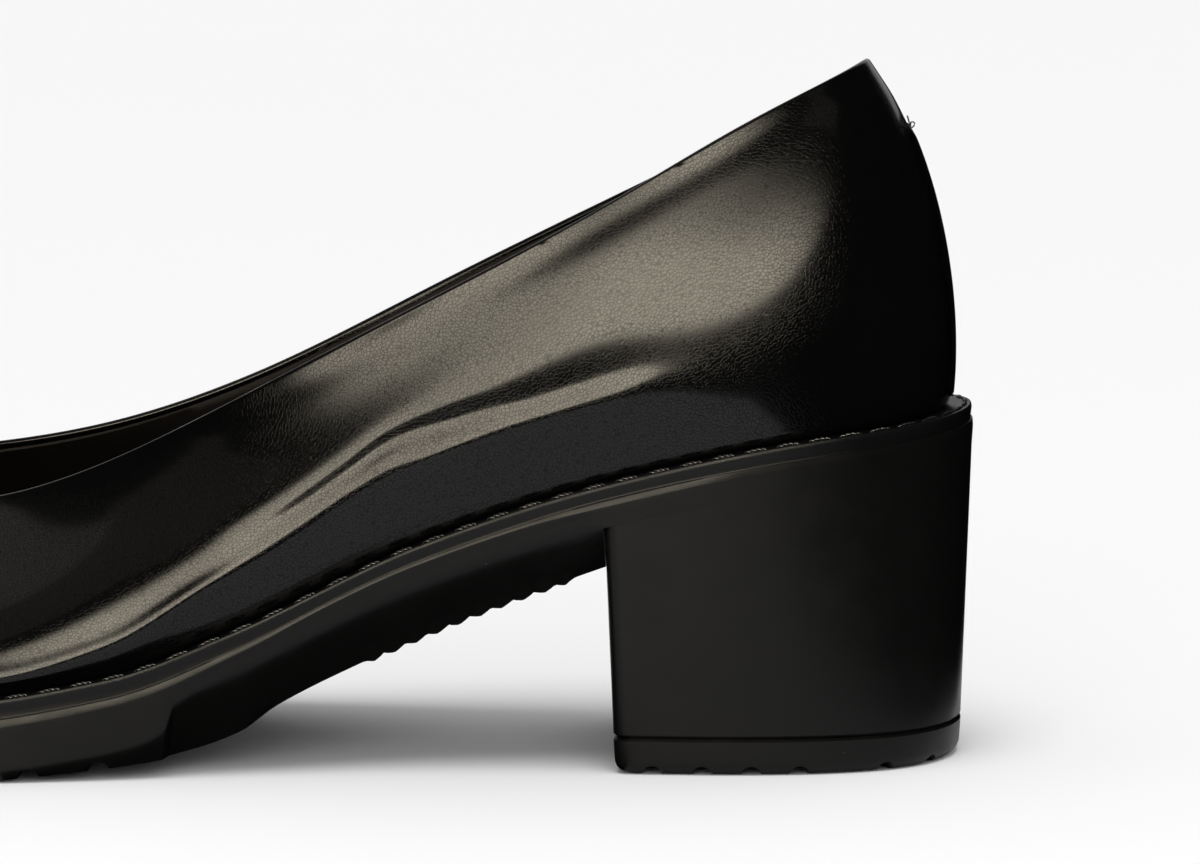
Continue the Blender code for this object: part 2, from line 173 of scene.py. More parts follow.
def bendGrid(name, rows, sharp=40):  # a grid bent to rings of points and closed up
    rows = np.asarray(rows, float)
    rows = np.concatenate([rows, rows[:, :1]], axis=1)
    bpy.ops.object.select_all(action="DESELECT")
    bpy.ops.mesh.primitive_grid_add(x_subdivisions=rows.shape[1] - 1, y_subdivisions=rows.shape[0] - 1, size=1)
    piece = bpy.context.object
    piece.name = piece.data.name = name
    piece.data.vertices.foreach_set("co", rows.reshape(-1))
    bpy.ops.object.mode_set(mode="EDIT")
    bpy.ops.mesh.select_all(action="SELECT")
    bpy.ops.mesh.remove_doubles(threshold=2e-6)
    bpy.ops.mesh.dissolve_degenerate(threshold=1e-7)
    bpy.ops.mesh.normals_make_consistent(inside=False)
    bpy.ops.object.mode_set(mode="OBJECT")
    bpy.ops.object.shade_smooth_by_angle(angle=math.radians(sharp))
    return piece


def wrapGrid(name, rings, sharp=40):  # the same, in the shoe's own sizes
    return bendGrid(name, inMetres(rings), sharp)


def tube(name, path, width, sides):  # a thread along a path in metres, closed at both ends
    path = np.asarray(path, float)
    width = np.broadcast_to(width, len(path))
    way = np.gradient(path, axis=0)
    way /= np.linalg.norm(way, axis=1)[:, None]
    aside = np.cross(way, (0.31, 0.17, 1.0))
    aside /= np.linalg.norm(aside, axis=1)[:, None]
    above = np.cross(aside, way)
    rings = [np.repeat(path[:1], sides, axis=0)]
    for centre, radius, a, b in zip(path, width, aside, above):
        turns = np.linspace(0, 2 * math.pi, sides + 1)[:-1, None]
        rings.append(centre + radius * (a * np.cos(turns) + b * np.sin(turns)))
    rings.append(np.repeat(path[-1:], sides, axis=0))
    return bendGrid(name, rings, 80)


def carve(piece, cutter):  # cut one piece with another, which is then thrown away
    pick(piece)
    tool = piece.modifiers.new("carve", "BOOLEAN")
    tool.operation = "DIFFERENCE"
    tool.solver = "EXACT"
    tool.object = cutter
    bpy.ops.object.modifier_apply(modifier=tool.name)
    bpy.data.objects.remove(cutter)
    pick(piece)
    bpy.ops.object.shade_smooth_by_angle(angle=math.radians(40))


def bar(start, end, radius, sides=24):  # a round bar between two points of the shoe
    a, b = (Vector(p) for p in inMetres([start, end]))
    bpy.ops.object.select_all(action="DESELECT")
    bpy.ops.mesh.primitive_cylinder_add(vertices=sides, radius=radius * mm, depth=(b - a).length)
    rod = bpy.context.object
    rod.rotation_euler = (b - a).to_track_quat("Z", "Y").to_euler()
    rod.location = (a + b) / 2
    bpy.ops.object.transform_apply(location=True, rotation=True, scale=True)
    return rod


def joined(name, pieces):
    pick(*pieces)
    if len(pieces) > 1:
        bpy.ops.object.join()
    made = bpy.context.object
    made.name = made.data.name = name
    return made


# shader sockets that take part in Python sums
class Wire:
    def __init__(self, look, socket):
        self.look = look
        self.socket = socket

    def sum(self, operation, other, swapped=False):
        a, b = (other, self) if swapped else (self, other)
        return self.look.node("ShaderNodeMath", {"operation": operation}, {0: a, 1: b})

    def __add__(self, other): return self.sum("ADD", other)
    def __radd__(self, other): return self.sum("ADD", other, True)
    def __sub__(self, other): return self.sum("SUBTRACT", other)
    def __rsub__(self, other): return self.sum("SUBTRACT", other, True)
    def __mul__(self, other): return self.sum("MULTIPLY", other)
    def __rmul__(self, other): return self.sum("MULTIPLY", other, True)
    def __truediv__(self, other): return self.sum("DIVIDE", other)
    def __rtruediv__(self, other): return self.sum("DIVIDE", other, True)
    def __pow__(self, other): return self.sum("POWER", other)
    def __gt__(self, other): return self.sum("GREATER_THAN", other)
    def __lt__(self, other): return self.sum("LESS_THAN", other)


class Look:
    def __init__(self, name, **fixed):
        self.material = bpy.data.materials.new(name)
        self.material.use_nodes = True
        self.tree = self.material.node_tree
        self.surface = self.tree.nodes["Principled BSDF"]
        for socket, value in fixed.items():
            self.surface.inputs[socket.replace("_", " ")].default_value = value
        self.place = self.node("ShaderNodeTexCoord", out="Object")

    def node(self, kind, settings=None, sockets=None, out=0):
        made = self.tree.nodes.new(kind)
        for name, value in (settings or {}).items():
            setattr(made, name, value)
        for name, value in (sockets or {}).items():
            if isinstance(value, Wire):
                self.tree.links.new(value.socket, made.inputs[name])
            else:
                made.inputs[name].default_value = value
        return Wire(self, made.outputs[out])

    def feed(self, socket, wire):
        self.tree.links.new(wire.socket, self.surface.inputs[socket])

    def noise(self, size, detail, rough=0.5):  # size of a blotch in mm
        sockets = {"Vector": self.place, "Scale": 1 / (size * mm), "Detail": detail, "Roughness": rough}
        return self.node("ShaderNodeTexNoise", None, sockets)

    def cells(self, size, feature="F1"):
        sockets = {"Vector": self.place, "Scale": 1 / (size * mm)}
        return self.node("ShaderNodeTexVoronoi", {"feature": feature}, sockets)

    def ramp(self, factor, low, high, dark=0.0, light=1.0):
        return self.node("ShaderNodeMapRange", {"interpolation_type": "SMOOTHSTEP"},
                         {"Value": factor, "From Min": low, "From Max": high, "To Min": dark, "To Max": light})

    def mix(self, factor, a, b):
        return self.node("ShaderNodeMix", {"data_type": "RGBA"}, {"Factor": factor, 6: a, 7: b}, 2)

    def bump(self, height, depth):  # depth in mm for a height of one
        return self.node("ShaderNodeBump", None, {"Height": height, "Distance": depth * mm, "Strength": 1.0})


# sizes and depths in mm
leatherSet = {
    "grain": 0.55, "lineFrom": 0.015, "lineTo": 0.13, "pore": 0.4, "poreShare": 0.4, "depth": 0.007,
    # the coat is cut back in the grain's lines as painted shade
    "coat": 0.31, "grooveShade": 0.24, "coatRoughness": 0.12, "specular": 0.12, "smooth": (0.09, 0.12),
    "blotch": 9, "dark": (0.0012, 0.0012, 0.0012, 1), "light": (0.0022, 0.0021, 0.002, 1),
    "dustApart": 11, "dustRadius": (0.012, 0.007), "dust": (0.10, 0.10, 0.095, 1),
}


def leatherLook():
    s = leatherSet
    look = Look("black leather", Specular_IOR_Level=s["specular"], Coat_Roughness=s["coatRoughness"])
    edge = look.cells(s["grain"], "DISTANCE_TO_EDGE")
    # fine lines between the flat crowns of the grain
    groove = look.ramp(edge, s["lineFrom"], s["lineTo"], 1.0, 0.0)
    broad = look.noise(s["blotch"], 2)
    look.feed("Normal", look.bump(look.noise(s["pore"], 2) * s["poreShare"] - groove, s["depth"]))
    look.feed("Coat Weight", s["coat"] - groove * s["grooveShade"])  # painted shade: less coat, and so less gloss, in the grain's lines
    dust = look.ramp(look.cells(s["dustApart"]), *s["dustRadius"])
    look.feed("Base Color", look.mix(dust, look.mix(broad, s["dark"], s["light"]), s["dust"]))
    look.feed("Roughness", look.ramp(broad, 0.3, 0.7, *s["smooth"]))
    return look.material


liningLookSet = {
    "grain": 0.5, "depth": 0.05, "blotch": 4, "rough": 0.6, "specular": 0.12,
    "dark": (0.0056, 0.0042, 0.0034, 1), "light": (0.010, 0.0075, 0.006, 1),
}


def liningLook():
    s = liningLookSet
    look = Look("brown lining leather", Roughness=s["rough"], Specular_IOR_Level=s["specular"])
    look.feed("Normal", look.bump(look.noise(s["grain"], 3), s["depth"]))
    look.feed("Base Color", look.mix(look.noise(s["blotch"], 3), s["dark"], s["light"]))
    return look.material


rubberSet = {
    "specular": 0.165, "blotch": 16, "wear": 6, "wearSpan": 0.08,
    "speckApart": 7, "speckRadius": (0.022, 0.012), "speck": (0.05, 0.05, 0.046, 1),
    # darkest and lightest tone, smoothest polish, size and depth of the moulded skin
    "welt strip": ((0.0026, 0.0027, 0.0030, 1), (0.0036, 0.0037, 0.0041, 1), 0.3, 0.28, 0.03),
    "moulded rubber": ((0.0028, 0.0028, 0.0027, 1), (0.0038, 0.0037, 0.0035, 1), 0.3, 0.34, 0.014),
    "tip rubber": ((0.0028, 0.0027, 0.0026, 1), (0.0040, 0.0039, 0.0037, 1), 0.36, 0.4, 0.016),
}


def rubberLook(name):  # black rubber with a fine moulded skin
    s = rubberSet
    dark, light, smooth, grain, depth = s[name]
    look = Look(name, Specular_IOR_Level=s["specular"])
    look.feed("Normal", look.bump(look.noise(grain, 3, 0.6), depth))
    specks = look.ramp(look.cells(s["speckApart"]), *s["speckRadius"])
    look.feed("Base Color", look.mix(specks, look.mix(look.noise(s["blotch"], 3), dark, light), s["speck"]))
    look.feed("Roughness", look.ramp(look.noise(s["wear"], 3), 0.3, 0.7, smooth, smooth + s["wearSpan"]))
    return look.material


threadSet = {
    "twist": 0.2, "depth": 0.03, "blotch": 2, "rough": 0.28, "specular": 1.0,
    "dark": (0.004, 0.004, 0.004, 1), "light": (0.010, 0.010, 0.010, 1),
}


def threadLook():
    s = threadSet
    look = Look("waxed thread", Roughness=s["rough"], Specular_IOR_Level=s["specular"])
    look.feed("Normal", look.bump(look.noise(s["twist"], 2), s["depth"]))
    look.feed("Base Color", look.mix(look.noise(s["blotch"], 1), s["dark"], s["light"]))
    return look.material


leather = leatherLook()
lining = liningLook()
welting = rubberLook("welt strip")
soleRubber = rubberLook("moulded rubber")
tipRubber = rubberLook("tip rubber")
thread = threadLook()
print("materials made")


def finishPiece(piece, material, slot, *nodes):
    piece.data.materials.clear()
    piece.data.materials.append(material)
    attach(piece, "root")
    if nodes:
        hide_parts(*nodes)


# upper
upperSet = {
    "weltShow": 3.6, "leather": 1.25, "lift": 0.1, "tuckIn": 0.8, "tuckRise": 2.0, "tuckSteps": 4,
    "seamHalf": 1.7, "seamRise": 0.65, "seamEdge": 0.35, "seamTop": 103.0, "seamTopSoft": 0.4,
    # fold where the leather turns over the edge of the insole: along, height above the welt, swell,
    # spread upwards and downwards, depth of the crease above it and the crease's height over the fold
    "fold": [(0, 12.5, 0, 2.8, 5.6, 0, 4.2), (34, 13, 0, 2.8, 5.6, 0, 4.2),
             (48, 13.6, 0.22, 2.8, 5.6, 0, 4.2), (58, 13.4, 0.62, 2.8, 5.6, 0.04, 4.2),
             (68, 13.2, 0.72, 2.8, 5.6, 0.1, 4.2), (76, 13.3, 0.7, 2.8, 5.6, 0.15, 4.5),
             (84, 13.3, 0.64, 2.8, 5.4, 0.4, 5), (94, 12.9, 0.16, 2.8, 5, 0.52, 5.8),
             (101, 12.2, 0.06, 2.6, 4.4, 0.44, 5), (108, 11.2, 0.12, 2.4, 3.8, 0.4, 4.6),
             (115, 10.4, 0.35, 2.2, 3.6, 0.25, 4.4), (124, 9.3, 0.75, 2, 3.6, 0, 6),
             (141, 4.7, 0.85, 2, 3.6, 0, 6), (157, 2.7, 0.85, 2, 3.6, 0, 6),
             (176, 2.5, 0.5, 2, 3.6, 0, 6), (242, 3, 0, 2, 3.6, 0, 6)],
    "creaseSpread": 2.4,
    "rollDip": 0.12, "rollPlace": 3.5, "rollSpread": 2.5,
    "columns": 190, "seamZone": 3.2, "seamColumns": 16, "rings": 72, "rollSteps": 6, "insideStep": 3,
}


def fade(value):  # 1 well below zero, 0 well above
    return 1 / (1 + np.exp(np.clip(value, -50, 50)))


def hump(value):
    return np.exp(-(value**2))


def upperSkin(places, shares):  # outer skin of the upper as a grid of points, and its outward normals
    s = upperSet
    foot, out = outline(places, s["weltShow"])
    top, topSlope = closedSpline(topLoop, places)
    flat = np.zeros((len(places), 1))
    waysOut = np.column_stack([out, flat])
    topWaysOut = np.column_stack([outward(topSlope), flat])
    up = np.array([[0.0, 0.0, 1.0]])
    swellOut, swellUp, leanOut, leanDown = closedSpline(wallLoop, places)[0].T[:, :, None]
    footRise = rim(foot[:, 0])[:, None]
    start = np.column_stack([foot, footRise + s["lift"] + s["tuckRise"]])
    first = start + waysOut * swellOut + up * swellUp
    second = top + topWaysOut * leanOut - up * leanDown
    fromBack = np.minimum(places, knots[-1] - places)[:, None]
    onSeam = fade((fromBack - s["seamHalf"]) / (s["seamEdge"] / 4))
    rows = []
    for t in shares:
        row = start * (1 - t) ** 3 + first * 3 * t * (1 - t) ** 2 + second * 3 * t**2 * (1 - t) + top * t**3
        folds = [smoothCurve(s["fold"], column, row[:, 0])[:, None] for column in range(1, 7)]
        crest, swell, upwards, downwards, crease, creaseUp = folds
        above = row[:, 2:] - footRise - crest
        swell = swell * hump(above / np.where(above > 0, upwards, downwards))
        crease = crease * hump((above - creaseUp) / s["creaseSpread"])
        seam = s["seamRise"] * onSeam * fade((row[:, 2:] - s["seamTop"]) / s["seamTopSoft"])
        below = np.linalg.norm(top - row, axis=1)[:, None]
        dip = s["rollDip"] * hump((below - s["rollPlace"]) / s["rollSpread"])  # under the rolled collar edge
        rows.append(row + waysOut * (swell - crease + seam - dip))
    # the lower edge tucks in towards the welt
    for step, turn in enumerate(np.linspace(0, math.pi / 2, s["tuckSteps"] + 1)[:-1]):
        inset = s["weltShow"] + s["tuckIn"] * (1 - math.sin(turn))
        lift = s["lift"] + s["tuckRise"] * (1 - math.cos(turn))
        rows.insert(step, rimRing(places, inset, -lift))
    skin = np.array(rows)
    across = np.roll(skin, -1, axis=1) - np.roll(skin, 1, axis=1)
    upward = np.gradient(skin, axis=0)
    normal = np.cross(across, upward)
    normal /= np.linalg.norm(normal, axis=2)[:, :, None]
    if (normal[len(rows) // 2] * waysOut).sum() < 0:
        normal = -normal
    return skin, normal


def makeUpper():
    s = upperSet
    nearSeam = np.linspace(0, s["seamZone"] / toePlace, s["seamColumns"])
    places = bothSides(np.unique(np.concatenate([np.linspace(0, 1, s["columns"]), nearSeam])))
    skin, normal = upperSkin(places, np.linspace(0, 1, s["rings"]))
    half = s["leather"] / 2
    rise = skin[-1] - skin[-2]
    rise /= np.linalg.norm(rise, axis=1)[:, None]
    edge = skin[-1] - rise * half  # the folded edge keeps the collar's height
    skin[-1] = edge
    middle = edge - normal[-1] * half
    rings = list(skin)
    for turn in np.linspace(0, math.pi, s["rollSteps"] + 1)[1:-1]:
        rings.append(middle + half * (normal[-1] * math.cos(turn) + rise * math.sin(turn)))
    inner = skin - normal * s["leather"]
    rings += list(inner[::-1][:: s["insideStep"]])
    rings += [inner[0], skin[0]]
    finishPiece(wrapGrid("upper_leather", rings, 60), leather, "upper_leather", "upper")


liningSet = {"columns": 150, "rings": 40, "reach": 0.975, "gap": 0.06, "thick": 0.5, "crown": 0.22}


def makeLining():
    s = liningSet
    places = bothSides(np.linspace(0, 1, s["columns"]))
    skin, normal = upperSkin(places, np.linspace(0, s["reach"], s["rings"]))
    clear = upperSet["tuckSteps"] + 1  # the lining starts above the tucked edge
    skin, normal = skin[clear:], normal[clear:]
    depth = upperSet["leather"] + s["gap"]
    outerFace = skin - normal * depth
    innerFace = skin - normal * (depth + s["thick"])
    crown = (outerFace[-1] + innerFace[-1]) / 2 + np.array([0, 0, s["crown"]])
    rings = list(outerFace) + [crown] + list(innerFace[::-1]) + [outerFace[0]]
    finishPiece(wrapGrid("lining", rings, 60), lining, "insole_sock")


# loose thread at the top of the back seam: outwards, upwards and across, in mm
tackSet = {
    "rise": 103.6, "thread": 0.13, "points": 14, "sides": 5,
    "loops": [
        [(-0.3, -0.5, -0.2), (0.35, -0.35, -0.15), (0.85, 0.05, 0.0), (0.95, 0.42, 0.1),
         (0.6, 0.65, 0.15), (0.15, 0.5, 0.1), (-0.1, 1.1, 0.0), (-0.25, 1.7, -0.1)],
        [(-0.2, -1.7, 0.2), (0.42, -1.35, 0.2), (0.62, -0.95, 0.15), (0.4, -0.6, 0.0), (-0.2, -0.4, -0.2)],
        [(-0.3, -0.4, -1.3), (0.2, -0.15, -0.6), (0.3, 0.0, 0.0), (0.2, 0.15, 0.7), (-0.3, 0.3, 1.3)],
        [(-0.3, -0.1, -1.1), (0.3, 0.5, -0.5), (0.25, 0.1, 0.3), (-0.3, -0.6, 1.0)],
    ],
}


def makeTack():
    s = tackSet
    skin, _ = upperSkin(np.array([0.0, 1.0, 2.0]), np.linspace(0, 1, 80))
    back = skin[upperSet["tuckSteps"] + 1 :, 0]
    along = np.interp(s["rise"], back[:, 2], back[:, 0])
    loops = []
    for loop in s["loops"]:
        rows = [(i, *point) for i, point in enumerate(loop)]
        steps = np.linspace(0, len(rows) - 1, s["points"])
        out, up, across = (smoothCurve(rows, column, steps) for column in (1, 2, 3))
        path = np.column_stack([along - out, across, s["rise"] + up])
        loops.append(tube("loop", inMetres(path), s["thread"] * mm, s["sides"]))
    finishPiece(joined("seam_tack", loops), thread, "upper_leather")


makeUpper()
makeLining()
makeTack()
print("upper, lining and tack done")

# insole
insoleSet = {"inset": 6.6, "lift": 0.3, "thick": 3.0, "round": 0.7, "columns": 130}


def makeInsole():
    s = insoleSet
    places = bothSides(np.linspace(0, 1, s["columns"]))
    top = s["lift"] + s["thick"]
    rings = capRings(rimRing(places, s["inset"], -s["lift"]), 3)[::-1]
    rings.append(rimRing(places, s["inset"], -s["lift"]))
    for turn in np.linspace(0, math.pi / 2, 5):
        inset = s["inset"] + s["round"] * (1 - math.cos(turn))
        rings.append(rimRing(places, inset, -(top - s["round"] + s["round"] * math.sin(turn))))
    rings += capRings(rings[-1], 8)
    finishPiece(wrapGrid("insole_sock", rings), lining, "insole_sock", "insole")


makeInsole()
print("insole done")

# welt and its stitches
weltSet = {
    "columns": 210,
    # inset from the lip and drop below the top: a bevelled lip over a side that leans inwards
    "section": [(9.0, 0.0), (4.2, 0.0), (2.6, 0.0), (1.2, 0.02), (0.6, 0.0), (0.3, 0.01), (0.19, 0.05),
                (0.14, 0.13), (0.09, 0.3), (0.045, 0.5), (0.03, 0.62), (0.035, 0.75), (0.07, 1.05),
                (0.13, 1.5), (0.21, 2.1), (0.7, 2.12), (9.0, 2.12)],
}
stitchSet = {
    "pitch": 5.25, "length": 3.7, "inset": 1.1, "arch": 0.22, "sink": 0.1,
    "ply": 0.2, "endPly": 0.55, "wind": 0.17, "turns": 2.0, "sides": 5, "rings": 15,
}


def makeWelt():
    places = bothSides(np.linspace(0, 1, weltSet["columns"]))
    rings = [rimRing(places, inset, drop) for inset, drop in weltSet["section"]]
    finishPiece(wrapGrid("welt_strip", rings + rings[:1], 50), welting, "welt_strip", "welt")


def oneStitch():  # two plies wound round each other in a low arch, along x
    s = stitchSet
    share = np.linspace(0, 1, s["rings"])
    thin = s["endPly"] + (1 - s["endPly"]) * np.sin(share * math.pi) ** 0.5
    plies = []
    for start in (0, math.pi):
        wind = start + share * s["turns"] * 2 * math.pi
        rise = s["arch"] * np.sin(share * math.pi) ** 0.7 - s["sink"] + s["wind"] * np.sin(wind)
        path = np.column_stack([(share - 0.5) * s["length"], s["wind"] * np.cos(wind), rise])
        plies.append(tube("ply", path * mm, s["ply"] * thin * mm, s["sides"]))
    return joined("stitch", plies)


def makeStitches():
    s = stitchSet
    dense = np.linspace(0, knots[-1], 6000)
    line, _ = outline(dense, s["inset"])
    run = np.concatenate([[0], np.cumsum(np.linalg.norm(np.diff(line, axis=0), axis=1))])
    count = round(run[-1] / s["pitch"])
    at = np.interp((np.arange(count) + 0.5) * run[-1] / count, run, dense)
    points = inMetres(rimRing(at, s["inset"], 0.0))
    ahead = inMetres(rimRing(at + 0.5, s["inset"], 0.0)) - points
    outside = inMetres(rimRing(at, s["inset"] - 1.0, 0.0)) - points
    stitch = oneStitch()
    row = []
    for point, way, out in zip(points, ahead, outside):
        upward = Vector(way).cross(Vector(out))
        upward = upward if upward.z > 0 else -upward
        along = Vector(out).cross(upward).normalized()
        upward.normalize()
        pick(stitch)
        bpy.ops.object.duplicate()
        copy = bpy.context.object
        turn = Matrix((along, upward.cross(along), upward)).transposed()
        copy.matrix_world = Matrix.Translation(point) @ turn.to_4x4()
        row.append(copy)
    bpy.data.objects.remove(stitch)
    pick(*row)
    bpy.ops.object.transform_apply(location=True, rotation=True, scale=True)
    finishPiece(joined("welt_stitches", row), thread, "welt_strip")


makeWelt()
makeStitches()
print("welt and stitches done")

# outsole
soleSet = {
    "bedInset": 9.3, "ledge": 2.0, "coveIn": 0.2, "coveDeep": 0.24, "shoulderOut": 0.2, "bevelRound": 0.45,
    # along, drop of the shoulder below the welt, height and lean of its bevel
    "shoulder": [(0, 2.6, 1.2, 0.07), (34, 2.6, 1.2, 0.08), (46, 2.5, 1.2, 0.18), (60, 2.45, 1.1, 0.26),
                 (72, 2.6, 0.6, 0.26), (104, 2.6, 0.5, 0.26), (118, 2.9, 0.9, 0.26), (132, 3.1, 1.5, 0.26),
                 (242, 3.0, 1.4, 0.26)],
    # along, roundness of the wall's lower edge
    "edge": [(0, 0.1), (57, 0.1), (63, 2.4), (118, 2.4), (130, 1.2), (242, 0.8)],
    "ribFrom": 64.0, "ribTo": 99.0, "ribPitch": 3.5, "ribDrop": 0.8,
    "lugFirst": 140.9, "lugPitch": 11.1, "lugCount": 9, "lugRadius": 1.7, "lugSink": 0.2, "lugHalf": 60,
    "heelJoint": 7.0, "breast": 59.3, "pocketHalf": 45, "pocketPast": 4, "pocketSteps": 24,
    # columns behind, along and before the ribs, and at the step of the side wall
    "behind": 70, "ribbed": 90, "before": 120, "ribMargin": 3, "stepFrom": 126, "stepTo": 133, "stepped": 30,
}


def makeOutsole():
    s = soleSet
    ribStart, ribEnd = shareAt(s["ribFrom"] - s["ribMargin"]), shareAt(s["ribTo"] + s["ribMargin"])
    spans = [(0, ribStart, s["behind"]), (ribStart, ribEnd, s["ribbed"]), (ribEnd, 1, s["before"]),
             (shareAt(s["stepFrom"]), shareAt(s["stepTo"]), s["stepped"])]
    places = bothSides(np.unique(np.concatenate([np.linspace(*span) for span in spans])))
    along = outline(places, 0)[0][:, 0]
    wallDrop = smoothCurve(last["side"], 1, along)
    under = smoothCurve(last["side"], 2, along)
    shoulder = smoothCurve(s["shoulder"], 1, along)
    shoulderRound = smoothCurve(s["shoulder"], 2, along)
    lean = shoulderRound * smoothCurve(s["shoulder"], 3, along)
    edge = smoothCurve(s["edge"], 1, along)

    # bed of the welt, cove, shoulder with its bevel, upright wall
    rings = capRings(rimRing(places, s["bedInset"], 0), 2)[::-1]
    rings += [rimRing(places, s["bedInset"], drop) for drop in (0, s["ledge"])]
    rings.append(rimRing(places, s["coveIn"], s["ledge"]))
    rings.append(rimRing(places, s["coveDeep"], shoulder - 0.14))
    rings.append(rimRing(places, s["coveDeep"] - 0.04, shoulder - 0.03))
    rings.append(rimRing(places, lean + 0.05 - s["shoulderOut"], shoulder))
    for share in (0.04, 0.2, 0.4, 0.6, 0.8, 0.94):
        bevel = lean * (1 - share) * (1 - s["bevelRound"] * share)
        rings.append(rimRing(places, bevel - s["shoulderOut"], shoulder + shoulderRound * share))
    rings.append(rimRing(places, 0.005 - s["shoulderOut"], shoulder + shoulderRound))
    wallTop = shoulder + shoulderRound + 0.1
    for share in np.linspace(0, 1, 6)[1:]:
        drop = wallTop + (wallDrop - edge - wallTop) * share
        rings.append(rimRing(places, -s["shoulderOut"] * (1 - share), drop))
    bottom, _ = outline(places, under)
    lower = np.column_stack([bottom, smoothCurve(last["tread"], 1, bottom[:, 0])])
    start, corner = rings[-1], rimRing(places, 0, wallDrop)
    slant = lower - corner
    end = corner + slant * np.minimum(edge / np.linalg.norm(slant, axis=1), 0.6)[:, None]
    for t in np.linspace(0, 1, 7)[1:]:  # the wall rolls over into the underside
        rings.append(start * (1 - t) ** 2 + corner * 2 * t * (1 - t) + end * t**2)
    for share in np.linspace(0, 1, 7)[1:-1]:
        rings.append(end + (lower - end) * share)
    floorRings = [lower] + capRings(lower, 10)
    for ring in floorRings:
        along = ring[:, 0]
        wave = (along - s["ribFrom"]) / s["ribPitch"]
        tooth = 1 - np.abs(2 * (wave - np.floor(wave)) - 1)
        mask = np.clip((along - s["ribFrom"]) / 2, 0, 1) * np.clip((s["ribTo"] - along) / 2, 0, 1)
        ring[:, 2] = smoothCurve(last["tread"], 1, along) - s["ribDrop"] * mask * tooth**0.7
    rings += floorRings
    piece = wrapGrid("outsole_rubber", rings)

    pocket = []
    half, low = s["pocketHalf"], -s["pocketPast"]
    for along in np.linspace(-s["pocketPast"], s["breast"], s["pocketSteps"]):
        top = float(rim(along)) - s["heelJoint"]
        pocket.append([(along, -half, low), (along, -half, top), (along, half, top), (along, half, low)])
    first, final = ([np.mean(pocket[end], axis=0)] * 4 for end in (0, -1))
    carve(piece, wrapGrid("heel_pocket", [first] + pocket + [final]))
    grooves = []
    for i in range(s["lugCount"]):
        along = s["lugFirst"] + i * s["lugPitch"]
        rise = float(smoothCurve(last["tread"], 1, along)) - s["lugSink"]
        grooves.append(bar((along, -s["lugHalf"], rise), (along, s["lugHalf"], rise), s["lugRadius"]))
    carve(piece, joined("lug_grooves", grooves))
    finishPiece(piece, soleRubber, "sole_rubber", "outsole")


makeOutsole()
print("outsole done")

# heel block and heel tip
heelSet = {
    "joint": 7.0, "breastTop": 59.2, "breastFoot": 57.9, "taper": 1.6, "corner": 2.5, "hollow": 0.8,
    "tip": 6.0, "gap": 0.12, "groove": 0.45, "tipRound": 2.2, "tipLean": 0.2,
    "notches": [4.3, 12.3, 27.0, 35.1, 43.3, 51.5], "notchRadius": 1.7, "notchSink": 0.2, "notchReach": 8.0,
    "sidePoints": 60, "cornerPoints": 7,
}


def heelHalf(side, inset, breast):
    s = heelSet
    dense = np.linspace(0, toePlace / 2, 600)
    if side > 0:
        dense = knots[-1] - dense
    along = outline(dense, 0)[0][:, 0]
    front = np.interp(breast - s["corner"], along, dense)
    flank, _ = outline(np.linspace(front, dense[0], s["sidePoints"]), inset)
    corner = flank[0] - np.array([0, side * s["corner"]])
    turn = np.linspace(0, math.pi / 2, s["cornerPoints"])[:-1]
    arc = corner + s["corner"] * np.column_stack([np.cos(turn), side * np.sin(turn)])
    run = np.linspace(0, 1, 9)[:-1]
    line = np.column_stack([breast - s["hollow"] * (1 - run**2), corner[1] * run])
    return np.concatenate([line, arc, flank])


def heelRing(inset, breast, rise=None, share=0.0):
    inner, outer = heelHalf(-1, inset, breast), heelHalf(1, inset, breast)
    points = np.concatenate([inner, outer[-2:0:-1]])
    top = rim(points[:, 0]) - heelSet["joint"]
    return np.column_stack([points, top + (rise - top) * share])


def makeHeel():
    s = heelSet
    foot = s["tip"] + s["gap"]
    rings = []
    for share in np.linspace(0, 1, 14):
        breast = s["breastTop"] + (s["breastFoot"] - s["breastTop"]) * share
        rings.append(heelRing(s["taper"] * share, breast, foot + s["groove"], share))
    rings = capRings(rings[0], 4)[::-1] + rings
    rings.append(heelRing(s["taper"] + s["groove"], s["breastFoot"] - s["groove"], foot, 1.0))
    rings += capRings(rings[-1], 4)
    finishPiece(wrapGrid("heel_block", rings), soleRubber, "sole_rubber", "heel")


def makeHeelTip():
    s = heelSet
    section = [(s["groove"], s["tip"]), (0.0, s["tip"] - s["groove"]), (s["tipLean"] / 2, s["tip"] * 0.6)]
    for turn in np.linspace(0, math.pi / 2, 7):
        inset = s["tipLean"] + s["tipRound"] * (1 - math.cos(turn))
        section.append((inset, s["tipRound"] * (1 - math.sin(turn))))
    rings = [heelRing(s["taper"] + inset, s["breastFoot"] - inset, rise, 1.0) for inset, rise in section]
    rings = capRings(rings[0], 4)[::-1] + rings + capRings(rings[-1], 4)
    piece = wrapGrid("heel_tip_rubber", rings)
    dense = np.linspace(0, toePlace / 2, 600)
    bars = []
    for places in (dense, knots[-1] - dense):
        at = np.interp(s["notches"], outline(places, 0)[0][:, 0], places)
        outer = outline(at, -0.5)[0]
        inner = outline(at, s["taper"] + s["notchReach"])[0]
        for a, b in zip(outer, inner):
            bars.append(bar((*a, -s["notchSink"]), (*b, -s["notchSink"]), s["notchRadius"]))
    carve(piece, joined("tip_notches", bars))
    finishPiece(piece, tipRubber, "tip_rubber", "heel_tip")


makeHeel()
makeHeelTip()
print("heel and tip done")

# stage, light and camera
stageSet = {
    "table": (6.0, 6.0), "tableTone": (0.86, 0.8686), "ambient": 0.63, "wallGlow": 0.85,
    "aim": (0.0596, 0.0, 0.0525), "distance": 1.4, "azimuth": 3.0, "elevation": 7.5, "lens": 254.1,
}
